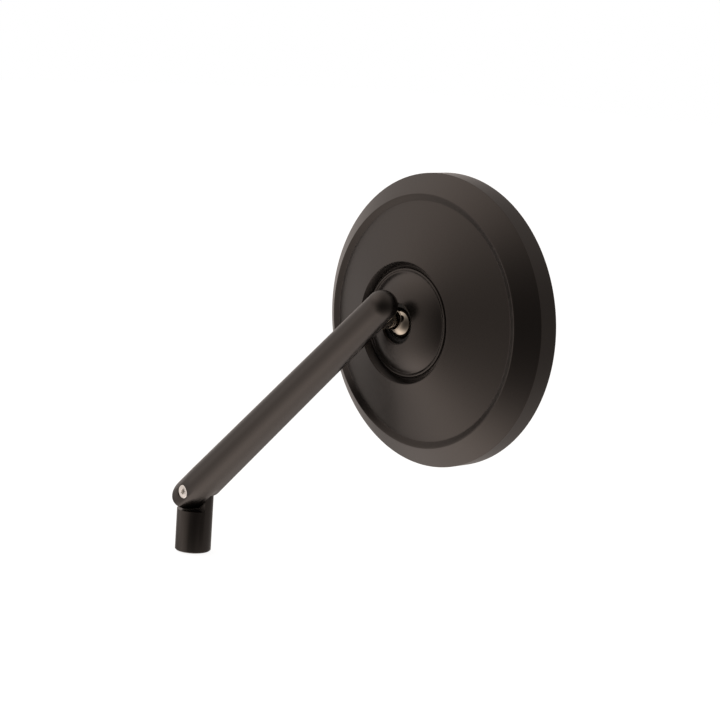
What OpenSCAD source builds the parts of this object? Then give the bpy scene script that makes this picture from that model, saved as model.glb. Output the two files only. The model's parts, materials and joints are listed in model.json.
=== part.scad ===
// Motorcycle mirror with a round turned head on a ball joint, a straight tapered arm
// and a threaded base joined to the arm by a folding half-lap.
// The origin is the centre of the base's bottom face, at the mouth of its threaded hole.
// +Z runs up the base, the arm leans toward +X and the head's back faces -Y.

/* [Base] */
// Radius of the base and of the arm's lower end
base_r = 7.25; // [6.8:0.05:8]
// Height of the half-lap's floor above the base's bottom face
notch_floor = 17; // [16.5:0.5:24]
// Wall radius of the threaded hole that takes the handlebar clamp's M10 stud
thread_r = 4.375; // [3.4:0.005:4.4]
// Depth of the threaded hole
thread_depth = 14; // [10:0.5:14.5]
// Chamfer on the base's bottom edge
base_chamfer = 0.4; // [0.2:0.1:1]

/* [Folding joint] */
// Gap between a rounded lap end and the floor that it turns over
lap_clearance = 0.35; // [0.3:0.05:0.6]
// Place of the lap's seam, in front of the arm's axis
seam_shift = 0.7; // [0:0.1:1]
// Gap between the two lap faces
seam_gap = 0.2; // [0.1:0.05:0.4]
// Radius of the pivot screw's head
screw_head_r = 2.75; // [2.6:0.05:3]
// Height of the straight part of the screw's head
screw_head_h = 0.5; // [0.4:0.1:0.8]
// Depth of the screw's head below the arm's surface
screw_sink = 0.4; // [0.3:0.1:0.6]
// Radius of the screw's plain shoulder, on which the arm turns
shoulder_r = 2; // [1.8:0.05:2.2]
// Radius of the screw's threaded end
screw_thread_r = 1.5; // [1.4:0.05:1.6]
// Size across the flats of the screw's hexagon socket
socket_af = 2; // [1.5:0.1:2]
// Depth of the hexagon socket
socket_depth = 1; // [0.6:0.1:1.2]
// Wall of the bush in the arm's ear
bush_wall = 1; // [0.6:0.1:1.2]
// Outer radius of the friction washer between the lap faces
washer_r = 5; // [4.5:0.1:5.5]
// Thickness of the friction washer
washer_t = 1; // [0.6:0.1:1.2]
// Size across the flats of the locking nut
nut_af = 5.5; // [5:0.1:6]
// Thickness of the locking nut
nut_h = 2.4; // [2:0.1:2.8]
// Thickness of the spring washer under the nut
nut_washer_t = 0.5; // [0.3:0.1:0.6]

/* [Arm] */
// Lean of the arm from upright, in degrees
arm_lean = 48; // [0:1:60]
// Distance from the pivot to the ball stud, along the arm
stud_distance = 128; // [80:1:200]
// Length of the arm past the stud, to the centre of its round end
arm_overrun = 6.5; // [5.5:0.1:8]
// Radius of the arm's round upper end
arm_tip_r = 5.85; // [5.4:0.05:6.4]

/* [Ball stud] */
// Radius of the ball
ball_r = 6.25; // [6.2:0.05:6.5]
// Distance from the ball's centre to the arm's axis
stud_reach = 15.6; // [15.2:0.1:17]
// Roll of the stud about the arm, in degrees
stud_roll = 15; // [0:1:16]
// Radius of the stud's neck
neck_r = 3.5; // [3.2:0.1:3.7]
// Length of the neck, from the ball's centre to the collar
neck_end = 8.4; // [8.2:0.1:8.8]
// Radius of the thin ring where the neck leaves the ball
neck_ring_r = 0.35; // [0.2:0.05:0.4]
// Radius of the collar at its wide foot
collar_r = 5.3; // [4.8:0.1:5.5]
// Radius of the stud's thread in the arm
stud_thread_r = 2.5; // [2:0.1:3]
// Depth of the stud's thread past the arm's axis
stud_thread_past = 2; // [1:0.1:3]

/* [Ball seat] */
// Thickness of the thin liners around the ball
liner_t = 0.8; // [0.6:0.05:0.9]
// Running clearance of the ball in its liners, and of the liners in their seats
ball_clearance = 0.03; // [0.02:0.01:0.06]
// Angle of the back liner's opening from the ball joint's axis, in degrees
liner_opening = 66; // [64:1:70]
// Outer radius of the seats
seat_r = 9.4; // [9:0.1:10]
// Length of the back seat, from the ball's centre toward the mouth
seat_ring_h = 3.7; // [3.4:0.1:3.8]
// Wall of the front seat under the ball
seat_floor = 1.4; // [1.2:0.1:2]
// Running clearance of the seats in the head
seat_clearance = 0.05; // [0.03:0.01:0.08]
// Height of the disc spring
spring_h = 1; // [0.8:0.1:1.4]
// Thickness of the disc spring's sheet
spring_t = 0.6; // [0.4:0.1:0.7]
// Radius of the disc spring's hole
spring_hole_r = 3.6; // [3:0.1:4]

/* [Head] */
// Radius of the head
head_r = 55; // [50:0.5:60]
// Length of the head's straight side wall
side_wall = 8.55; // [8:0.05:12]
// Fillet on the head's front rim
rim_fillet = 1; // [0.4:0.1:1.2]
// Height of the ball's centre above the head's shoulder
ball_height = 13.2; // [13:0.1:14]
// Radius of the bevel's inner edge
bevel_r = 46.4; // [44:0.1:47]
// Height of the bevel's inner edge above the shoulder
bevel_h = 5.6; // [5:0.1:6.2]
// Radius of the soft valley inside the bevel
valley_r = 44.4; // [43:0.1:45]
// Radius of the recess around the dome
recess_r = 22.8; // [22:0.1:24]
// Height of the recess's outer edge above the shoulder
recess_h = 15.2; // [14.6:0.1:15.6]
// Depth of the recess
recess_depth = 1; // [0.6:0.1:1.4]
// Outer radius of the bead ring at the dome's foot
bead_r = 20.6; // [20:0.1:21]
// Width of the bead ring
bead_w = 1.7; // [1.2:0.1:2]
// Radius of the dome at its foot
dome_r = 18.5; // [17.6:0.1:18.6]
// Radius of the mouth that the stud comes out of
mouth_r = 7.45; // [7:0.05:7.6]
// Height of the mouth's rim above the ball's centre
mouth_rise = 5.1; // [4.9:0.1:5.4]
// Rounding of the mouth's rim
mouth_fillet = 0.4; // [0.2:0.1:0.6]
// Wall of the head's shell
shell_wall = 2.6; // [2:0.1:3]
// Wall of the head's rim around the glass
rim_wall = 2.2; // [1.8:0.1:2.6]

/* [Clamp] */
// Radius of the boss that holds the ball seats
boss_r = 17; // [16.5:0.1:18]
// Thickness of the clamp plate
clamp_plate_t = 2; // [1.6:0.1:2.4]
// Radius of the clamp screws' thread
clamp_screw_r = 1.5; // [1.4:0.05:1.6]
// Length of the clamp screws' thread in the boss
clamp_screw_len = 6; // [5:0.5:7]
// Radius of the clamp screws' heads
clamp_head_r = 2.75; // [2.5:0.05:2.85]
// Height of the clamp screws' heads
clamp_head_h = 1.6; // [1.4:0.1:2]

/* [Glass] */
// Thickness of the mirror glass
glass_t = 2; // [1.6:0.1:2.4]
// Radius of the convex glass's curve
glass_curve = 1200; // [1000:50:2000]
// Depth of the glass's edge below the head's front rim
glass_sink = 1.8; // [1.6:0.1:2]
// Gap between the glass's edge and the rim
glass_gap = 0.3; // [0.2:0.1:0.5]
// Thickness of the adhesive foam behind the glass
foam_t = 0.8; // [0.5:0.1:1]
// Thickness of the backing plate at its edge
backing_t = 1.4; // [1.2:0.1:1.6]
// Width of the ledge that carries the backing plate
ledge_w = 3; // [2:0.5:4]

/* [Hidden] */
$fn = 120;

// A cut reaches this far past the face that it goes through
past = 1;
// Clearance that lets a threaded or pressed piece sit in its hole without overlapping it
thread_clearance = 0.05;
// Radial clearance of the shoulder in its bush, and of the screw's head in its sink
running = 0.03;

// Folding joint: heights from the base, and depths along the pivot's axis from the arm's axis
pivot_h = notch_floor + base_r + lap_clearance;
lap_r = base_r + lap_clearance;
arm_seam = -seam_shift - seam_gap;
base_seam = -seam_shift;
bush_r = shoulder_r + running + bush_wall;
head_top = -base_r + screw_sink;
head_cone_h = screw_head_r - shoulder_r;
shoulder_end = base_seam + washer_t;
nut_floor = base_r - screw_sink - nut_h - nut_washer_t;
nut_top = nut_floor + nut_washer_t + nut_h;

// Arm: the rod narrows evenly from the pivot to its round end
arm_tip = stud_distance + arm_overrun;
function arm_r(along) = base_r + (arm_tip_r - base_r) * along / arm_tip;

// Ball stud: distances along the stud from the ball's centre toward the arm
neck_start = sqrt(ball_r * ball_r - neck_r * neck_r);
collar_foot = stud_reach - sqrt(arm_tip_r * arm_tip_r - collar_r * collar_r) + thread_clearance;
stud_end = stud_reach + stud_thread_past;

// Ball seat radii, from the ball outward
liner_in = ball_r + ball_clearance;
liner_out = liner_in + liner_t;
seat_in = liner_out + ball_clearance;
seat_bottom = -seat_in - seat_floor;
pocket_r = seat_r + seat_clearance;
// Half the angle between the two liners, and the angle at which the front liner ends
liner_split = 2;
front_liner_end = 150;
// Half the gap between the two seats
seat_split = 0.15;
// The disc spring's edge lies this far inside the seat's edge
spring_inset = 1;

// Head heights above the shoulder, toward the back
mouth_h = ball_height + mouth_rise;
bead_h = recess_h - recess_depth;
// Groove at the dome's foot: its depth below the bead, its flat's width and the dome's step into it
groove_depth = 0.35;
groove_w = 0.1;
groove_step = 0.1;
dome_h = bead_h - groove_depth + groove_step;
dome_top_r = mouth_r + mouth_fillet;
dome_centre = (dome_top_r * dome_top_r + mouth_h * mouth_h - dome_r * dome_r - dome_h * dome_h)
    / (2 * (mouth_h - dome_h));
dome_curve = norm([dome_r, dome_h - dome_centre]);
pocket_top = ball_height + seat_ring_h + seat_clearance;
clamp_h = ball_height + seat_bottom - spring_h - seat_clearance;
clamp_screws = 3;
// The clamp screws stand midway between the seats' pocket and the boss's edge
clamp_screw_ring = (boss_r + pocket_r) / 2;
// The bead's round top is centred this far below its height, and its outer foot lies this far below
bead_sink = 0.15;
bead_foot = 0.3;
// Rounding of the recess's outer edge
recess_round = 0.4;
// Valley inside the bevel: its width, and its height above the bevel's inner edge
valley_w = 2;
valley_h = 0.55;
// Roll on the bevel's inner edge: its radius, and how far the valley dips under it
bevel_roll = 0.45;
roll_dip = 0.05;
// Inside of the shell: fillet at the boss, wall above the ledge and chamfer at the front rim
boss_fillet = 2;
ledge_wall = 1.2;
rim_chamfer = 0.4;
shell_h = recess_h - recess_depth - shell_wall;
// Drill points: under the base's threaded hole, and past the clamp screws' ends
base_drill_h = 1.5;
clamp_drill_h = 1;

// Glass stack: heights of the edges of its faces, toward the front
front_h = -side_wall;
glass_edge_h = front_h + glass_sink;
foam_edge_h = glass_edge_h + glass_t;
backing_edge_h = foam_edge_h + foam_t;
ledge_h = backing_edge_h + backing_t;
glass_r = head_r - rim_wall - glass_gap;
// The foam and the backing plate end this far inside the glass's edge
stack_inset = 0.5;
stack_r = glass_r - stack_inset;
ledge_r = head_r - rim_wall - ledge_w;

anodised = [0.13, 0.125, 0.12];
steel = [0.74, 0.73, 0.71];
dark_steel = [0.3, 0.3, 0.31];
nylon = [0.06, 0.06, 0.06];
bronze = [0.72, 0.53, 0.3];

// Points on an arc about a centre, with angles counted from the profile's r axis
function arc(centre, radius, from, to, steps) =
    [for (i = [0:steps]) let (turn = from + (to - from) * i / steps) centre + radius * [cos(turn), sin(turn)]];

// Height of a dished face at a radius, where the face's height at the glass's edge is known
function dish(edge_h, r) =
    edge_h - sqrt(glass_curve * glass_curve - r * r) + sqrt(glass_curve * glass_curve - glass_r * glass_r);

// The arm's own frame: z along the arm from the pivot
module on_arm() {
    translate([0, 0, pivot_h]) rotate([0, arm_lean, 0]) children();
}

// The stud's frame: the ball's centre, with z along the stud toward the arm
module on_stud() {
    on_arm() translate([0, 0, stud_distance]) rotate([0, 0, -stud_roll])
        translate([0, stud_reach, 0]) rotate([90, 0, 0]) children();
}

// The head's frame: z along the head's axis toward its back
module on_head(height) {
    on_arm() translate([0, 0, stud_distance]) rotate([0, 0, -stud_roll]) translate([0, stud_reach, 0])
        rotate([0, 0, stud_roll]) rotate([0, -arm_lean, 0]) rotate([90, 0, 0])
        translate([0, 0, height - ball_height]) children();
}

// A cylinder along the pivot's axis, between two depths
module across(radius, from, to, sides = $fn) {
    translate([0, from, 0]) rotate([-90, 0, 0]) cylinder(r = radius, h = to - from, $fn = sides);
}

// One half of a rod's end, rounded about the pivot, on the side of the seam that the depths give
module lap_end(radius, floor, from, to) {
    intersection() {
        cylinder(r = radius, h = 2 * (floor + past), center = true);
        union() {
            across(base_r, from, to);
            translate([-radius - past, from, 0]) cube([2 * (radius + past), to - from, floor + past]);
        }
    }
}

// The base's round bar with its threaded hole, and the lap's ear that stands behind the seam
module base_adapter() {
    color(anodised) difference() {
        union() {
            cylinder(r1 = base_r - base_chamfer, r2 = base_r, h = base_chamfer);
            translate([0, 0, base_chamfer]) cylinder(r = base_r, h = notch_floor - base_chamfer);
            translate([0, 0, pivot_h]) mirror([0, 0, 1]) lap_end(base_r, lap_r - past, base_seam, base_r + past);
        }
        translate([0, 0, -past]) cylinder(r = thread_r, h = thread_depth + past);
        translate([0, 0, thread_depth]) cylinder(r1 = thread_r, r2 = 0, h = base_drill_h);
        translate([0, 0, pivot_h]) {
            across(shoulder_r + running, base_seam - past, shoulder_end);
            across(screw_thread_r + thread_clearance, base_seam, base_r + past);
            across((nut_af / 2 + thread_clearance) / cos(30), nut_floor, base_r + past, 6);
        }
    }
}

// Shoulder screw with a low countersunk head, a hexagon socket and a threaded end
module pivot_screw() {
    cone_start = head_top + screw_head_h;
    color(steel) translate([0, 0, pivot_h]) difference() {
        union() {
            across(screw_head_r, head_top, cone_start);
            translate([0, cone_start, 0]) rotate([-90, 0, 0])
                cylinder(r1 = screw_head_r, r2 = shoulder_r, h = head_cone_h);
            across(shoulder_r, cone_start + head_cone_h, shoulder_end - running);
            across(screw_thread_r, shoulder_end - running, nut_top);
        }
        across(socket_af / 2 / cos(30), head_top - past, head_top + socket_depth, 6);
    }
}

// Locking nut in the hexagon pocket behind the base's ear
module pivot_nut() {
    color(steel) translate([0, 0, pivot_h]) difference() {
        across(nut_af / 2 / cos(30), nut_floor + nut_washer_t, nut_top, 6);
        across(screw_thread_r + thread_clearance, nut_floor, nut_top + past);
    }
}

// Spring washer under the locking nut
module nut_washer() {
    color(steel) translate([0, 0, pivot_h]) difference() {
        across(nut_af / 2, nut_floor, nut_floor + nut_washer_t);
        across(screw_thread_r + thread_clearance, nut_floor - past, nut_top);
    }
}

// Tapered rod with a round upper end, a lap end in front of the seam, and the hole for the ball stud
module arm() {
    color(anodised) difference() {
        on_arm() {
            translate([0, 0, lap_r]) cylinder(r1 = arm_r(lap_r), r2 = arm_tip_r, h = arm_tip - lap_r);
            translate([0, 0, arm_tip]) sphere(r = arm_tip_r);
            lap_end(arm_r(lap_r), lap_r - past, -base_r - past, arm_seam);
        }
        on_arm() {
            across(screw_head_r + running, -base_r - past, head_top + screw_head_h);
            translate([0, head_top + screw_head_h, 0]) rotate([-90, 0, 0])
                cylinder(r1 = screw_head_r + running, r2 = shoulder_r + running, h = head_cone_h);
            across(bush_r + thread_clearance, head_top + screw_head_h + head_cone_h, arm_seam + past);
            across(washer_r + thread_clearance, base_seam - washer_t, arm_seam + past);
        }
        on_stud() cylinder(r = stud_thread_r + thread_clearance, h = stud_end + thread_clearance);
    }
}

// Plain bush in the arm's ear, around the screw's shoulder
module pivot_bush() {
    bush_start = head_top + screw_head_h + head_cone_h;
    color(bronze) on_arm() difference() {
        across(bush_r, bush_start, base_seam - washer_t);
        across(shoulder_r + running, bush_start - past, base_seam);
    }
}

// Friction washer in the arm's lap face, bearing on the base's lap face
module friction_washer() {
    color(nylon) on_arm() difference() {
        across(washer_r, base_seam - washer_t, base_seam);
        across(shoulder_r + running, base_seam - washer_t - past, base_seam + past);
    }
}

// Polished ball on a plain neck with a threaded end
module ball_stud() {
    color(steel) on_stud() {
        sphere(r = ball_r);
        cylinder(r = neck_r, h = neck_end);
        translate([0, 0, neck_start]) rotate_extrude() translate([neck_r, 0]) circle(r = neck_ring_r, $fn = 24);
        cylinder(r = stud_thread_r, h = stud_end);
    }
}

// Flared collar between the neck and the arm, with its foot shaped to the round arm
module stud_collar() {
    foot_h = collar_foot - neck_end;
    color(steel) difference() {
        on_stud() difference() {
            translate([0, 0, neck_end]) cylinder(r1 = neck_r, r2 = collar_r, h = foot_h);
            cylinder(r = stud_thread_r + thread_clearance, h = stud_end);
        }
        on_arm() translate([0, 0, stud_distance - 2 * collar_r])
            cylinder(r1 = arm_r(stud_distance - 2 * collar_r) + running, r2 = arm_tip_r + running,
                h = arm_overrun + 2 * collar_r);
        on_arm() translate([0, 0, arm_tip]) sphere(r = arm_tip_r + running);
    }
}

// A band of a spherical shell about the ball, between two angles from the joint's axis
module ball_band(inner, outer, from, to) {
    steps = 24;
    rotate_extrude() polygon(concat(
        arc([0, 0], inner, 90 - from, 90 - to, steps),
        arc([0, 0], outer, 90 - to, 90 - from, steps)));
}

// Thin liner on the mouth's side of the ball
module liner_back() {
    color(nylon) on_head(ball_height) ball_band(liner_in, liner_out, liner_opening, 90 - liner_split);
}

// Thin liner on the glass's side of the ball
module liner_front() {
    color(nylon) on_head(ball_height) ball_band(liner_in, liner_out, 90 + liner_split, front_liner_end);
}

// Ring seat between the ball and the mouth
module seat_back() {
    color(nylon) on_head(ball_height) difference() {
        translate([0, 0, seat_split]) cylinder(r = seat_r, h = seat_ring_h - seat_split);
        sphere(r = seat_in);
    }
}

// Cup seat on the glass's side of the ball, pressed by the disc spring
module seat_front() {
    color(nylon) on_head(ball_height) difference() {
        translate([0, 0, seat_bottom]) cylinder(r = seat_r, h = -seat_split - seat_bottom);
        sphere(r = seat_in);
    }
}

// Dished disc spring between the cup seat and the clamp plate
module disc_spring() {
    top = ball_height + seat_bottom - seat_clearance;
    cone = spring_h - spring_t;
    outer = seat_r - spring_inset;
    color(steel) on_head(0) rotate_extrude() polygon([
        [spring_hole_r, top], [spring_hole_r, top - spring_t],
        [outer, top - spring_t - cone], [outer, top - cone]]);
}

// Height of the head's sloping back at a radius, on the straight line from the recess to the bevel
function back_slope_h(r) = bevel_h + (recess_h - bevel_h) * (bevel_r - r) / (bevel_r - recess_r);

// The head's outline on its back, from the mouth out to the front rim
function back_outline() = concat(
    arc([dome_top_r, mouth_h - mouth_fillet], mouth_fillet, 180, 90, 5),
    arc([0, dome_centre], dome_curve, acos(dome_top_r / dome_curve), acos(dome_r / dome_curve), 14),
    [[dome_r + groove_w, bead_h - groove_depth]],
    arc([bead_r - bead_w / 2, bead_h - bead_sink], bead_w / 2, 150, 0, 8),
    [[bead_r, bead_h - bead_foot]],
    arc([recess_r, recess_h - recess_round], recess_round, 150, 60, 4),
    [[valley_r - valley_w, back_slope_h(valley_r - valley_w)]],
    [[valley_r, bevel_h + valley_h], [bevel_r - 2 * bevel_roll, bevel_h - roll_dip]],
    arc([bevel_r - bevel_roll, bevel_h], bevel_roll, 160, 40, 6),
    [[head_r, 0]],
    arc([head_r - rim_fillet, front_h + rim_fillet], rim_fillet, 0, -90, 6));

// Turned one-piece head: dome with the mouth, sloping back, bevel, side wall and the boss inside
module housing() {
    inner_r = head_r - rim_wall;
    color(anodised) difference() {
        on_head(0) rotate_extrude() polygon(concat(
            [[mouth_r, pocket_top], [pocket_r, pocket_top], [pocket_r, clamp_h], [boss_r, clamp_h]],
            [[boss_r, shell_h - boss_fillet], [boss_r + boss_fillet, shell_h]],
            [[recess_r, shell_h], [bevel_r, bevel_h - shell_wall]],
            [[ledge_r, ledge_h + ledge_wall], [ledge_r, ledge_h], [inner_r, ledge_h]],
            [[inner_r, front_h + rim_chamfer], [inner_r + rim_chamfer, front_h]],
            [for (i = [len(back_outline()) - 1:-1:0]) back_outline()[i]]));
        on_head(clamp_h) clamp_ring() translate([0, 0, -past])
            cylinder(r = clamp_screw_r + thread_clearance, h = clamp_screw_len + clamp_drill_h + past);
    }
}

// The place of one clamp screw around the head's axis
module clamp_place(index) {
    rotate([0, 0, 90 + index * 360 / clamp_screws]) translate([clamp_screw_ring, 0, 0]) children();
}

// The places of all the clamp screws
module clamp_ring() {
    for (i = [0:clamp_screws - 1]) clamp_place(i) children();
}

// Round steel plate that holds the ball seats in the boss
module clamp_plate() {
    color(dark_steel) on_head(clamp_h - clamp_plate_t) difference() {
        cylinder(r = boss_r, h = clamp_plate_t);
        clamp_ring() translate([0, 0, -past])
            cylinder(r = clamp_screw_r + 2 * thread_clearance, h = clamp_plate_t + 2 * past);
    }
}

// One low-head screw of the clamp plate
module clamp_screw(index) {
    head_h = clamp_h - clamp_plate_t;
    color(steel) on_head(head_h) clamp_place(index) difference() {
        union() {
            translate([0, 0, -clamp_head_h]) cylinder(r = clamp_head_r, h = clamp_head_h);
            cylinder(r = clamp_screw_r, h = clamp_plate_t + clamp_screw_len);
        }
        translate([0, 0, -clamp_head_h - past])
            cylinder(r = socket_af / 2 / cos(30), h = past + clamp_head_h / 2, $fn = 6);
    }
}

// A shallow dish that bulges toward the front, between two faces given by their edges' heights
module dish_disc(radius, front, back, flat_back = false) {
    steps = 24;
    face = [for (i = [0:steps]) let (r = min(radius, glass_r * i / steps)) [r, dish(front, r)]];
    rear = flat_back ? [[radius, back], [0, back]]
        : [for (i = [steps:-1:0]) let (r = min(radius, glass_r * i / steps)) [r, dish(back, r)]];
    rotate_extrude($fn = 180) polygon(concat(face, rear));
}

// Plastic plate on the head's ledge, with a front face that follows the glass
module backing_plate() {
    color(nylon) on_head(0) dish_disc(stack_r, backing_edge_h, ledge_h, true);
}

// Adhesive foam between the glass and the backing plate
module glass_foam() {
    color(dark_steel) on_head(0) dish_disc(stack_r, foam_edge_h, backing_edge_h);
}

// Convex mirror glass
module mirror_glass() {
    color([0.8, 0.85, 0.88]) on_head(0) dish_disc(glass_r, glass_edge_h, foam_edge_h);
}

base_adapter();
pivot_screw();
pivot_nut();
nut_washer();
arm();
pivot_bush();
friction_washer();
ball_stud();
stud_collar();
liner_back();
liner_front();
seat_back();
seat_front();
disc_spring();
housing();
clamp_plate();
clamp_screw(0);  // clamp_screw_1
clamp_screw(1);  // clamp_screw_2
clamp_screw(2);  // clamp_screw_3
backing_plate();
glass_foam();
mirror_glass();
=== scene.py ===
import json
import math
import bmesh
import bpy
import numpy as np
from mathutils import Matrix, Vector


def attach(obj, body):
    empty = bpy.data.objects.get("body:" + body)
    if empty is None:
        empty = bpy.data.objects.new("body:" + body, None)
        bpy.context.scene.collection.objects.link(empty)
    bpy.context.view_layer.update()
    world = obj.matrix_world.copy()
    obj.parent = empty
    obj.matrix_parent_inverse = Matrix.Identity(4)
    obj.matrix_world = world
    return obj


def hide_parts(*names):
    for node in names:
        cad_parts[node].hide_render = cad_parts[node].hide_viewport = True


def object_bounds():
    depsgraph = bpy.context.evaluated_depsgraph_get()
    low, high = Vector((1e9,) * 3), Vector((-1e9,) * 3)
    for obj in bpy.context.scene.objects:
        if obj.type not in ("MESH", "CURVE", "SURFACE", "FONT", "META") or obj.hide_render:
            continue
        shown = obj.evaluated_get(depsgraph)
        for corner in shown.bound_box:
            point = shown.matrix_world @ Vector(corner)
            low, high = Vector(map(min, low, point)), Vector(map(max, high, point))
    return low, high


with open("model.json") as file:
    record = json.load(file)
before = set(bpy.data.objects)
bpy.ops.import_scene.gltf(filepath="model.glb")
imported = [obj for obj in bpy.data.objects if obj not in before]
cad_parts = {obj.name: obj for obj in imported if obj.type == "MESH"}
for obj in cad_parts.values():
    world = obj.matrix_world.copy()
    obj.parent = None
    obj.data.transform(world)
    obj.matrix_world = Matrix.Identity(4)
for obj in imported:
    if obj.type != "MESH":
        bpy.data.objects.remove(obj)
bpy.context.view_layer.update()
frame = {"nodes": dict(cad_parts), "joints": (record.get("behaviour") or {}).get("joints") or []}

# Camera at the photograph's angle: behind the head, to the right of the arm and a little above it.
# It stands about 0.9 m away and its long lens keeps the round head nearly free of perspective.
camera_place = Vector((0.6670, -0.5515, 0.2280))
camera_right = Vector((0.6816, 0.7288, 0.0655))
camera_up = Vector((-0.1663, 0.0670, 0.9838))
camera_back = camera_right.cross(camera_up)
camera_data = bpy.data.cameras.new("camera")
camera_data.lens = 110.0
camera_data.sensor_width = 36.0
camera_data.clip_start = 0.05
camera = bpy.data.objects.new("camera", camera_data)
bpy.context.collection.objects.link(camera)
turn = Matrix((camera_right, camera_up, camera_back)).transposed().to_4x4()
camera.matrix_world = Matrix.Translation(camera_place) @ turn
bpy.context.scene.camera = camera
bpy.context.scene.view_settings.view_transform = "Standard"

# Studio: soft white panels around the object, brightest below it and high on its left.
# The side that the camera looks in from stays dark, which leaves the soft dark bands on the black parts.
panel_white = (1.0, 0.895, 0.835, 1.0)
backdrop_white = (1.0, 1.0, 1.0, 1.0)
even_light = 0.03
world = bpy.data.worlds.new("studio")
bpy.context.scene.world = world
world.use_nodes = True
nodes = world.node_tree.nodes
links = world.node_tree.links
nodes.clear()
direction = nodes.new("ShaderNodeTexCoord")


def soft_panel(toward, spread, strength, others):
    """Adds strength * exp(k * (d . toward - 1)) to the others, where k makes it fade over the spread, in
    degrees. The first panel has no others before it and is added to the even light."""
    fade = 1.0 / (1.0 - math.cos(math.radians(spread)))
    facing = nodes.new("ShaderNodeVectorMath")
    facing.operation = "DOT_PRODUCT"
    facing.inputs[1].default_value = Vector(toward).normalized()
    power = nodes.new("ShaderNodeMath")
    power.operation = "MULTIPLY_ADD"
    power.inputs[1].default_value = fade
    power.inputs[2].default_value = -fade
    lobe = nodes.new("ShaderNodeMath")
    lobe.operation = "EXPONENT"
    total = nodes.new("ShaderNodeMath")
    total.operation = "MULTIPLY_ADD"
    total.inputs[1].default_value = strength
    links.new(direction.outputs["Generated"], facing.inputs[0])
    links.new(facing.outputs["Value"], power.inputs[0])
    links.new(power.outputs[0], lobe.inputs[0])
    links.new(lobe.outputs[0], total.inputs[0])
    if others:
        links.new(others, total.inputs[2])
    else:
        total.inputs[2].default_value = even_light
    return total.outputs[0]


# Each panel: the way toward it, its spread in degrees and its strength.
light = soft_panel((-0.49, 0.29, -0.82), 16, 1.67, None)
light = soft_panel((-0.31, -0.44, -0.84), 26, 1.27, light)
light = soft_panel((-0.61, -0.37, 0.70), 40, 0.99, light)
light = soft_panel((0.28, 0.13, -0.95), 40, 0.87, light)
light = soft_panel((-0.84, -0.54, -0.10), 16, 0.45, light)
light = soft_panel((-0.85, 0.53, -0.01), 26, 0.39, light)
light = soft_panel((-0.41, -0.90, -0.15), 26, 0.37, light)
light = soft_panel((0.45, 0.25, 0.86), 40, 0.35, light)
light = soft_panel((-0.08, -0.68, 0.73), 26, 0.33, light)
light = soft_panel((-0.53, 0.82, 0.22), 65, 0.32, light)
light = soft_panel((-0.21, -0.94, -0.27), 26, 0.31, light)
light = soft_panel((0.17, -0.56, -0.81), 16, 0.24, light)
light = soft_panel((0.73, 0.68, -0.07), 16, 0.09, light)
lamps = nodes.new("ShaderNodeBackground")
lamps.inputs["Color"].default_value = panel_white
backdrop = nodes.new("ShaderNodeBackground")
backdrop.inputs["Color"].default_value = backdrop_white
light_path = nodes.new("ShaderNodeLightPath")
shown = nodes.new("ShaderNodeMixShader")
out = nodes.new("ShaderNodeOutputWorld")
links.new(light, lamps.inputs["Strength"])
links.new(light_path.outputs["Is Camera Ray"], shown.inputs[0])
links.new(lamps.outputs[0], shown.inputs[1])
links.new(backdrop.outputs[0], shown.inputs[2])
links.new(shown.outputs[0], out.inputs["Surface"])

# Floor: a plain pale sheet under the base, with the object's faint soft shadow.
# It shows only to the camera, so the panels below the object shine up through it.
floor_half = 3.0
floor_gap = 0.0005
floor_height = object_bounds()[0][2] - floor_gap
floor_grey = (0.30, 0.30, 0.30, 1.0)
floor_glow = 0.92
floor_mesh = bpy.data.meshes.new("floor")
floor_mesh.from_pydata(
    [(-floor_half, -floor_half, floor_height), (floor_half, -floor_half, floor_height),
     (floor_half, floor_half, floor_height), (-floor_half, floor_half, floor_height)], [], [(0, 1, 2, 3)])
floor = bpy.data.objects.new("floor", floor_mesh)
bpy.context.collection.objects.link(floor)
floor_paint = bpy.data.materials.new("floor_paint")
floor_paint.use_nodes = True
nodes = floor_paint.node_tree.nodes
links = floor_paint.node_tree.links
nodes.clear()
matt = nodes.new("ShaderNodeBsdfDiffuse")
matt.inputs["Color"].default_value = floor_grey
lit = nodes.new("ShaderNodeEmission")
lit.inputs["Strength"].default_value = floor_glow
both = nodes.new("ShaderNodeAddShader")
unseen = nodes.new("ShaderNodeBsdfTransparent")
seen = nodes.new("ShaderNodeLightPath")
pick = nodes.new("ShaderNodeMixShader")
out = nodes.new("ShaderNodeOutputMaterial")
links.new(matt.outputs[0], both.inputs[0])
links.new(lit.outputs[0], both.inputs[1])
links.new(seen.outputs["Is Camera Ray"], pick.inputs[0])
links.new(unseen.outputs[0], pick.inputs[1])
links.new(both.outputs[0], pick.inputs[2])
links.new(pick.outputs[0], out.inputs["Surface"])
floor_mesh.materials.append(floor_paint)

# Base: a short round bar of black anodised aluminium with a half-lap at its top and an M10 thread below.
# The anodised finish is bead-blasted first, so it is matt, slightly warm and very finely grained.
mm = 0.001
grain_height = 0.05 * mm
weld_reach = 0.002 * mm
edge_break = 0.16
anodised_tones = ((0.0036, 0.0033, 0.0030), (0.0052, 0.0047, 0.0043))
anodised_tint = (1.0, 0.90, 0.835)
bore_r = 4.375
bore_depth = 14.0
thread_root_r = 4.95
base_pitch = 1.25
crest_inset = 0.08


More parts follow.
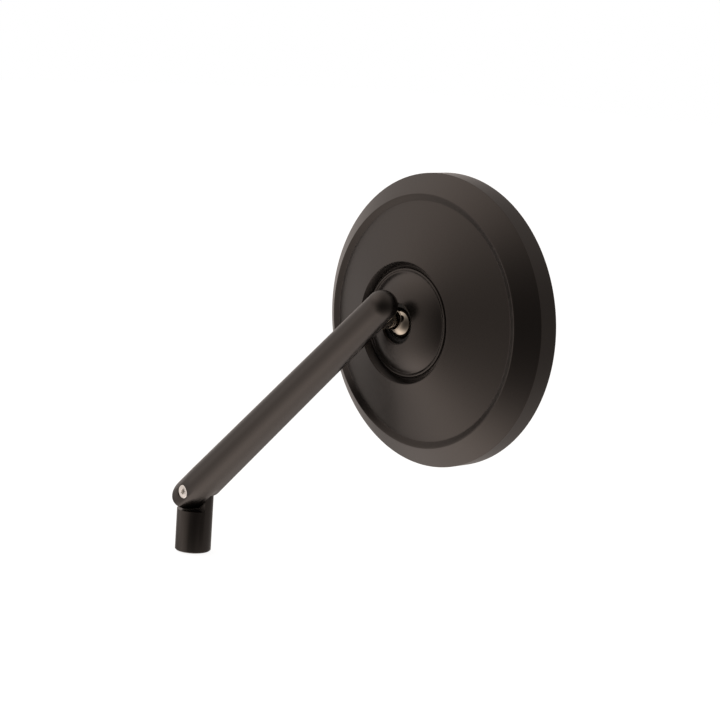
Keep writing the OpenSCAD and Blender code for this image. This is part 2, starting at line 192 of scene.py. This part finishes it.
def finish_of(name, tones, roughness, grain, metallic=0.0, relief=0.1, drift=60.0, level=0.5,
              tint=(1.0, 1.0, 1.0)):
    """A finish whose colour drifts slowly between two tones, and whose roughness and relief follow a fine
    grain. The colour is a mix by a broad noise; roughness is mapped from a fine noise between two limits."""
    finish = bpy.data.materials.new(name)
    finish.use_nodes = True
    nodes = finish.node_tree.nodes
    links = finish.node_tree.links
    shader = nodes["Principled BSDF"]
    shader.inputs["Metallic"].default_value = metallic
    shader.inputs["Specular IOR Level"].default_value = level
    shader.inputs["Specular Tint"].default_value = (*tint, 1.0)
    place = nodes.new("ShaderNodeTexCoord")
    broad = nodes.new("ShaderNodeTexNoise")
    broad.inputs["Scale"].default_value = drift
    broad.inputs["Detail"].default_value = 3.0
    colour = nodes.new("ShaderNodeMix")
    colour.data_type = "RGBA"
    colour.inputs[6].default_value = (*tones[0], 1.0)
    colour.inputs[7].default_value = (*tones[1], 1.0)
    fine = nodes.new("ShaderNodeTexNoise")
    fine.inputs["Scale"].default_value = grain
    fine.inputs["Detail"].default_value = 2.0
    rough = nodes.new("ShaderNodeMapRange")
    rough.inputs["To Min"].default_value = roughness[0]
    rough.inputs["To Max"].default_value = roughness[1]
    bump = nodes.new("ShaderNodeBump")
    bump.inputs["Strength"].default_value = relief
    bump.inputs["Distance"].default_value = grain_height
    links.new(place.outputs["Object"], broad.inputs["Vector"])
    links.new(place.outputs["Object"], fine.inputs["Vector"])
    links.new(broad.outputs["Fac"], colour.inputs[0])
    links.new(colour.outputs[2], shader.inputs["Base Color"])
    links.new(fine.outputs["Fac"], rough.inputs["Value"])
    links.new(rough.outputs["Result"], shader.inputs["Roughness"])
    links.new(fine.outputs["Fac"], bump.inputs["Height"])
    links.new(bump.outputs["Normal"], shader.inputs["Normal"])
    return finish


def dress(node, finish):
    """Gives a CAD node this finish in place of its plain colour."""
    mesh = frame["nodes"][node].data
    mesh.materials.clear()
    mesh.materials.append(finish)


def surface(name, points, close_rows, close_columns, finish, sharp=35.0):
    """A mesh of quads over a grid of points, in metres. Closing joins the last row or column to the first.
    Points that coincide are merged, so a pole is one point, and the normals are then turned outward."""
    rows, columns = points.shape[:2]
    row = np.arange(rows if close_rows else rows - 1)[:, None]
    column = np.arange(columns if close_columns else columns - 1)[None, :]
    next_row = (row + 1) % rows
    next_column = (column + 1) % columns
    corners = [row * columns + column, row * columns + next_column,
               next_row * columns + next_column, next_row * columns + column]
    faces = np.stack(corners, axis=-1).reshape(-1, 4)
    mesh = bpy.data.meshes.new(name)
    mesh.from_pydata(points.reshape(-1, 3), [], faces)
    shape = bmesh.new()
    shape.from_mesh(mesh)
    bmesh.ops.remove_doubles(shape, verts=shape.verts, dist=1e-7)
    bmesh.ops.recalc_face_normals(shape, faces=shape.faces)
    shape.to_mesh(mesh)
    shape.free()
    mesh.shade_smooth()
    mesh.set_sharp_from_angle(angle=math.radians(sharp))
    mesh.materials.append(finish)
    piece = bpy.data.objects.new(name, mesh)
    bpy.context.collection.objects.link(piece)
    return piece


def broken_edges(node, width, steps=2, angle=32.0):
    """Rounds a CAD node's edges that turn by more than the angle, in degrees, over this width in mm."""
    piece = frame["nodes"][node]
    weld = piece.modifiers.new("weld", "WELD")
    weld.merge_threshold = weld_reach
    bevel = piece.modifiers.new("edges", "BEVEL")
    bevel.width = width * mm
    bevel.segments = steps
    bevel.limit_method = "ANGLE"
    bevel.angle_limit = math.radians(angle)
    bevel.harden_normals = True


def thread_cutter(segments, steps_a_turn):
    """A rod of radius root - depth * clip(1.6 w - 0.2, 0, 1), where w = |2 frac(h / pitch - a / 2 pi) - 1|
    winds round the axis as a thread does. Between the grooves it stays inside the bore by the crest's inset.
    Its ends are closed and it reaches past the bottom face."""
    turn = np.linspace(0.0, 2.0 * np.pi, segments, endpoint=False)[:, None]
    steps = int(steps_a_turn * bore_depth / base_pitch)
    h = np.linspace(-base_pitch, bore_depth - 1.5 * base_pitch, steps)[None, :]
    wave = np.abs(2.0 * ((h / base_pitch - turn / (2.0 * np.pi)) % 1.0) - 1.0)
    r = thread_root_r - (thread_root_r - bore_r + crest_inset) * np.clip(1.6 * wave - 0.2, 0.0, 1.0)
    r = np.concatenate([0.0 * turn, r, 0.0 * turn], axis=1)
    h = np.concatenate([h[:, :1], h, h[:, -1:]], axis=1) + 0.0 * turn
    return mm * np.stack([r * np.cos(turn), r * np.sin(turn), h], axis=2)


anodised = finish_of("anodised_black", anodised_tones, (0.25, 0.32), 9000.0, relief=0.06, level=0.72,
                     tint=anodised_tint)
broken_edges("base_adapter", edge_break)
cutter = surface("thread_cutter", thread_cutter(72, 10), True, False, anodised)
drilled = frame["nodes"]["base_adapter"].modifiers.new("thread", "BOOLEAN")
drilled.object = cutter
drilled.operation = "DIFFERENCE"
drilled.solver = "EXACT"
source = frame["nodes"]["base_adapter"].evaluated_get(bpy.context.evaluated_depsgraph_get())
base_mesh = bpy.data.meshes.new_from_object(source)
frame["nodes"]["base_adapter"].modifiers.clear()
bpy.data.objects.remove(cutter)
base_mesh.materials.clear()
base_mesh.materials.append(anodised)
base_body = bpy.data.objects.new("base_body", base_mesh)
bpy.context.collection.objects.link(base_body)
dress("base_adapter", anodised)
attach(base_body, "base")
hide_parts("base_adapter")

# Pivot screw, locking nut and spring washer: bright stainless steel, the screw's head flush in the arm.
# The screw is turned in one piece, with a rounded low head, a hexagon socket, a plain shoulder and a thread.
steel_tones = ((0.88, 0.86, 0.83), (0.95, 0.93, 0.90))
steel_break = 0.1
screw_face = -6.85
head_edge_r = 2.75
head_side, head_depth = 0.5, 1.25
edge_round = 0.3
shoulder_r, shoulder_end = 2.0, 0.27
shoulder_chamfer = 0.1
screw_thread_r, screw_thread_start, screw_end = 1.5, 0.5, 6.85
screw_pitch, screw_thread_depth = 0.5, 0.25
screw_tip_width, screw_tip_height = 0.35, 0.4
socket_flats, socket_floor = 2.0, -5.85
socket_mouth_r = socket_flats / 2.0 / math.cos(math.pi / 6.0) + 0.08
socket_chamfer, socket_cone = 0.1, 0.15
flat_ring = 0.02


def joint_place(name):
    """The joint's place in the frame, in metres."""
    return Vector(next(joint for joint in frame["joints"] if joint["name"] == name)["pos_m"])


def arc(centre, radius, start, end, steps):
    """Points centre + radius * (cos a, sin a), with a from start to end in degrees."""
    turn = np.radians(np.linspace(start, end, steps + 1))
    return np.stack([centre[0] + radius * np.cos(turn), centre[1] + radius * np.sin(turn)], axis=1)


def thread_outline(radius, start, end, pitch, depth):
    """Fine grooves of a machine thread along a shank, as a triangle wave of the pitch between two heights."""
    h = np.linspace(start, end, int(8 * (end - start) / pitch) + 1)
    wave = np.abs((h / pitch) % 1.0 - 0.5) * 2.0
    return np.stack([radius - depth * wave, h], axis=1)


def socket_screw(segments):
    """Turned outline around +Y from the socket's floor outward. The socket's wall is at flats / 2 / cos(b),
    where b is the angle from the middle of the nearest flat. A ring just inside the rounded edge keeps the
    face flat."""
    turn = np.linspace(0.0, 2.0 * np.pi, segments, endpoint=False)[:, None]
    flat_turn = (turn + np.pi / 6.0) % (np.pi / 3.0) - np.pi / 6.0
    wall = socket_flats / 2.0 / np.cos(flat_turn)
    solid = np.concatenate([
        [(socket_mouth_r, screw_face), (head_edge_r - edge_round - flat_ring, screw_face)],
        arc((head_edge_r - edge_round, screw_face + edge_round), edge_round, -90.0, 0.0, 6),
        [(head_edge_r, screw_face + head_side), (shoulder_r, screw_face + head_depth),
         (shoulder_r, shoulder_end - shoulder_chamfer), (shoulder_r - shoulder_chamfer, shoulder_end),
         (screw_thread_r - shoulder_chamfer, shoulder_end)],
        thread_outline(screw_thread_r, screw_thread_start, screw_end - screw_tip_height, screw_pitch,
                       screw_thread_depth),
        [(screw_thread_r - screw_tip_width, screw_end), (0.0, screw_end)]])
    r = np.concatenate([0.0 * turn, wall, wall, solid[None, :, 0] + 0.0 * turn], axis=1)
    h = np.concatenate([0.0 * turn + socket_floor + socket_cone, 0.0 * turn + socket_floor,
                        0.0 * turn + screw_face + socket_chamfer, solid[None, :, 1] + 0.0 * turn], axis=1)
    return np.array(joint_place("arm_fold")) + mm * np.stack([r * np.cos(turn), h, r * np.sin(turn)], axis=2)


bright_steel = finish_of("bright_steel", steel_tones, (0.14, 0.22), 4000.0, metallic=1.0, relief=0.05)
screw = surface("socket_screw", socket_screw(96), True, False, bright_steel)
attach(screw, "base")
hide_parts("pivot_screw")
for node in ("pivot_nut", "nut_washer"):
    dress(node, bright_steel)
    broken_edges(node, steel_break)

# Arm: a straight tapered rod with a round upper end and a half-lap at the pivot.
# It is turned from aluminium bar, its lap is milled, and it is anodised like the base.
dress("arm", anodised)
broken_edges("arm", edge_break)

# Pivot bush and friction washer: a plain bronze sleeve and a black nylon ring inside the half-lap.
# The sleeve sits in the arm's ear and turns on the screw's shoulder; the lap's faces pinch the ring.
bronze_tones = ((0.50, 0.30, 0.12), (0.60, 0.38, 0.17))
nylon_tones = ((0.012, 0.012, 0.012), (0.018, 0.018, 0.018))
bronze = finish_of("plain_bronze", bronze_tones, (0.28, 0.42), 3000.0, metallic=1.0)
black_nylon = finish_of("black_nylon", nylon_tones, (0.42, 0.58), 6000.0)
dress("pivot_bush", bronze)
dress("friction_washer", black_nylon)

# Ball stud: one turned piece with a polished ball, a thin ring at the neck's root, a plain neck and a thread.
# It is nickel plated and screws into the arm, square to it and rolled a little toward the arm's underside.
ball_centre = joint_place("head_spin")
arm_lean = math.radians(48.0)
stud_roll = math.radians(15.0)
along_arm = Vector((math.sin(arm_lean), 0.0, math.cos(arm_lean)))
across_arm = Vector((math.cos(arm_lean), 0.0, -math.sin(arm_lean)))
stud_way = Vector((0.0, -math.cos(stud_roll), 0.0)) - math.sin(stud_roll) * across_arm
ball_r = 6.25
neck_r = 3.5
neck_end = 8.4
neck_ring_r = 0.2
neck_ring_gap = 0.05
neck_groove = np.array([(0.0, -0.75), (-0.12, -0.68), (-0.12, -0.5), (0.0, -0.42)])
stud_thread_r, stud_thread_start, stud_end = 2.5, 8.6, 17.6
stud_pitch, stud_thread_depth = 0.8, 0.4
stud_chamfer = 0.5
nickel_tones = ((0.40, 0.355, 0.29), (0.48, 0.43, 0.36))


def turned(name, outline, centre, way, segments, finish, closed=True):
    """A body of revolution: centre + r (cos a X + sin a Y) + h way, for each (r, h) of the outline in mm."""
    side = np.array(way.orthogonal().normalized())
    other = np.cross(np.array(way), side)
    turn = np.linspace(0.0, 2.0 * np.pi, segments, endpoint=False)[:, None, None]
    r = outline[None, :, 0, None] * mm
    h = outline[None, :, 1, None] * mm
    points = np.array(centre) + r * (np.cos(turn) * side + np.sin(turn) * other) + h * np.array(way)
    return surface(name, points, True, closed, finish)


neck_start = math.sqrt(ball_r ** 2 - neck_r ** 2)
stud_outline = np.concatenate([
    arc((0.0, 0.0), ball_r, -90.0, math.degrees(math.acos((neck_r + neck_ring_r) / ball_r)), 56),
    arc((neck_r, neck_start), neck_ring_r, -60.0, 90.0, 12),
    [(neck_r, neck_start + neck_ring_r + neck_ring_gap)],
    neck_groove + (neck_r, neck_end),
    [(neck_r, neck_end), (stud_thread_r, neck_end)],
    thread_outline(stud_thread_r, stud_thread_start, stud_end - stud_chamfer, stud_pitch, stud_thread_depth),
    [(stud_thread_r - stud_chamfer, stud_end), (0.0, stud_end)]])
polished = finish_of("polished_nickel", nickel_tones, (0.04, 0.08), 1500.0, metallic=1.0, relief=0.02)
stud = turned("ball_and_neck", stud_outline, ball_centre, stud_way, 144, polished, closed=False)
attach(stud, "arm")
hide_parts("ball_stud")

# Stud collar: a plated ring that flares from the neck to the arm, its foot milled to sit on the round rod.
# It is a loose ring on the stud's thread, pinched between the neck's shoulder and the arm.
collar_r = 5.3
collar_bore_r = 2.55
collar_foot = 13.17
stud_reach = 15.6
rod_r = 5.92
flare_curve = 1.25
satin_tones = ((0.84, 0.76, 0.66), (0.92, 0.85, 0.75))


def flared_collar(segments, steps, rounds):
    """Radius neck_r + (collar_r - neck_r) s^flare_curve with s from the neck to the foot, cut where it meets
    the rod. The rod's surface is at height stud_reach - sqrt(rod_r^2 - (r sin a)^2), and the height where the
    flare meets it is found by repeated substitution."""
    turn = np.linspace(0.0, 2.0 * np.pi, segments, endpoint=False)[:, None]
    foot = np.full_like(turn, collar_foot)

    def flare(h):
        share = np.clip((h - neck_end) / (collar_foot - neck_end), 0.0, 1.0)
        return neck_r + (collar_r - neck_r) * share ** flare_curve

    def rod_face(r):
        return stud_reach - np.sqrt(rod_r ** 2 - (r * np.sin(turn)) ** 2)

    for _ in range(rounds):
        foot = 0.5 * foot + 0.5 * rod_face(flare(foot))
    share = np.linspace(0.0, 1.0, steps)[None, :]
    outer_h = neck_end + (foot - neck_end) * share
    outer_r = flare(outer_h)
    under_r = flare(foot) + (collar_bore_r - flare(foot)) * share[:, 1:]
    under_h = rod_face(under_r)
    r = np.concatenate([outer_r, under_r, np.full_like(turn, collar_bore_r)], axis=1)
    h = np.concatenate([outer_h, under_h, np.full_like(turn, neck_end)], axis=1)
    side = np.array(along_arm)
    other = np.cross(np.array(stud_way), side)
    spin = turn[:, :, None]
    radial = np.cos(spin) * side + np.sin(spin) * other
    return np.array(ball_centre) + mm * (r[:, :, None] * radial + h[:, :, None] * np.array(stud_way))


satin_nickel = finish_of("satin_nickel", satin_tones, (0.18, 0.26), 2500.0, metallic=1.0, relief=0.03)
collar = surface("flared_collar", flared_collar(144, 20, 40), True, True, satin_nickel)
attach(collar, "arm")
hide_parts("stud_collar")

# Ball seats: black nylon liners and seats, a steel disc spring, and the plate and screws that clamp them.
# They sit in the head's boss and grip the ball, so that the head stays as it is turned.
for node in ("liner_back", "liner_front", "seat_back", "seat_front"):
    dress(node, black_nylon)
for node in ("disc_spring", "clamp_plate", "clamp_screw_1", "clamp_screw_2", "clamp_screw_3"):
    dress(node, bright_steel)

# Head: turned from aluminium in one piece, with a domed middle, a bead and a recess around it, a sloping back
# that ends in a shallow valley, and a bevel behind a soft crest. It is anodised like the arm.
# The ball's seats are clamped in a boss inside it, and the glass closes its front.
head_way = Vector((0.0, -1.0, 0.0))
ball_height = 13.2
head_r = 55.0
side_wall = 8.55
rim_fillet = 1.0
recess_r, recess_h = 22.75, 15.17
recess_round = 0.15
recess_foot = (21.05, 12.4)
bead_centre = (19.7, 12.95)
bead_round = 0.62
bead_start, bead_end = 138.0, -5.0
bead_groove = (18.86, 13.2)
dome_r, dome_h = 18.5, 13.4
valley = (44.9, 5.27)
crest = (47.2, 6.1)
crest_round = 0.5
mouth_r, mouth_fillet = 7.45, 0.4
mouth_above_ball = 5.1
mouth_h = ball_height + mouth_above_ball
shell_h, rim_wall = 11.0, 2.2
bevel_back = (46.4, 3.0)
boss_r = 17.0
pocket_r, pocket_top = 9.45, 16.95
clamp_h = 3.64
ledge_r, ledge_h, ledge_wall = 49.8, -1.55, 1.2
boss_chamfer, rim_chamfer = 2.0, 0.4


def eased(outline, softness, turn_step, length_step):
    """The outline with its corners rounded by a running mean over the softness, in mm, then sampled so that
    neighbours are at most length_step apart and turn by about turn_step degrees."""
    grid = 0.02
    gaps = np.hypot(*np.diff(outline, axis=0).T)
    along = np.concatenate([[0.0], np.cumsum(gaps)])
    even = np.arange(0.0, along[-1], grid)
    fine = np.stack([np.interp(even, along, outline[:, 0]), np.interp(even, along, outline[:, 1])], axis=1)
    reach = int(softness / grid)
    window = np.hanning(2 * reach + 3)
    window = window / window.sum()
    padded = np.pad(fine, ((reach + 1, reach + 1), (0, 0)), mode="reflect", reflect_type="odd")
    soft = np.stack([np.convolve(padded[:, k], window, mode="valid") for k in (0, 1)], axis=1)
    heading = np.unwrap(np.arctan2(*np.diff(soft, axis=0).T))
    turning = np.concatenate([[0.0], np.abs(np.diff(heading)), [0.0]])
    need = np.cumsum(np.degrees(turning) / turn_step + grid / length_step)
    pick = np.interp(np.linspace(need[0], need[-1], int(need[-1]) + 2), need, np.arange(len(need)))
    return np.stack([np.interp(pick, np.arange(len(soft)), soft[:, k]) for k in (0, 1)], axis=1)


dome_top_r = mouth_r + mouth_fillet
dome_centre = (dome_top_r ** 2 + mouth_h ** 2 - dome_r ** 2 - dome_h ** 2) / (2.0 * (mouth_h - dome_h))
dome_curve = math.hypot(dome_r, dome_h - dome_centre)
wall_tilt = math.degrees(math.atan2(recess_h - recess_foot[1], recess_r - recess_foot[0]))
slope_tilt = math.degrees(math.atan2(recess_h - valley[1], valley[0] - recess_r))
step_tilt = math.degrees(math.atan2(crest[1] - valley[1], crest[0] - valley[0]))
bevel_tilt = math.degrees(math.atan2(crest[1], head_r - crest[0]))
back = np.concatenate([
    [(mouth_r, pocket_top)],
    arc((dome_top_r, mouth_h - mouth_fillet), mouth_fillet, 180.0, 90.0, 12),
    arc((0.0, dome_centre), dome_curve, math.degrees(math.acos(dome_top_r / dome_curve)),
        math.degrees(math.acos(dome_r / dome_curve)), 60),
    [bead_groove],
    arc(bead_centre, bead_round, bead_start, bead_end, 24),
    [recess_foot],
    arc((recess_r, recess_h - recess_round), recess_round, 90.0 + wall_tilt, 90.0 - slope_tilt, 8),
    [valley],
    arc((crest[0], crest[1] - crest_round), crest_round, 90.0 + step_tilt, 90.0 - bevel_tilt, 10),
    [(head_r, 0.0)],
    arc((head_r - rim_fillet, rim_fillet - side_wall), rim_fillet, 0.0, -90.0, 12)])
inner_r = head_r - rim_wall
inside = np.array([
    (inner_r + rim_chamfer, -side_wall), (inner_r, rim_chamfer - side_wall), (inner_r, ledge_h),
    (ledge_r, ledge_h), (ledge_r, ledge_h + ledge_wall), bevel_back, (recess_r, shell_h),
    (boss_r + boss_chamfer, shell_h), (boss_r, shell_h - boss_chamfer), (boss_r, clamp_h),
    (pocket_r, clamp_h), (pocket_r, pocket_top)])
head_outline = np.concatenate([eased(back, 0.2, 3.0, 1.0), inside])
shell = turned("head_shell", head_outline - (0.0, ball_height), ball_centre, head_way, 256, anodised)
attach(shell, "head")
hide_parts("housing")

# Glass: a thin bent disc of silvered glass, its edges ground to a small chamfer.
# It is stuck with adhesive foam to a moulded plastic backing plate.
glass_r, glass_t = 52.49, 2.0
glass_curve = 1200.0
glass_front = -7.898
edge_grind = 0.25
silver_tones = ((0.80, 0.83, 0.85), (0.82, 0.85, 0.87))
silvered = finish_of("silvered_glass", silver_tones, (0.01, 0.02), 400.0, metallic=1.0, relief=0.0)
for node in ("backing_plate", "glass_foam"):
    dress(node, black_nylon)
bend_r = np.linspace(0.0, glass_r - edge_grind, 36)
bend = glass_front + glass_curve - np.sqrt(glass_curve ** 2 - bend_r ** 2)
edge_h = glass_front + glass_curve - math.sqrt(glass_curve ** 2 - glass_r ** 2)
pane_outline = np.concatenate([
    np.stack([bend_r, bend], axis=1),
    [(glass_r, edge_h + edge_grind), (glass_r, edge_h + glass_t - edge_grind)],
    np.stack([bend_r[::-1], bend[::-1] + glass_t], axis=1)])
pane = turned("glass_pane", pane_outline - (0.0, ball_height), ball_centre, head_way, 192, silvered,
              closed=False)
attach(pane, "head")
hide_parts("mirror_glass")
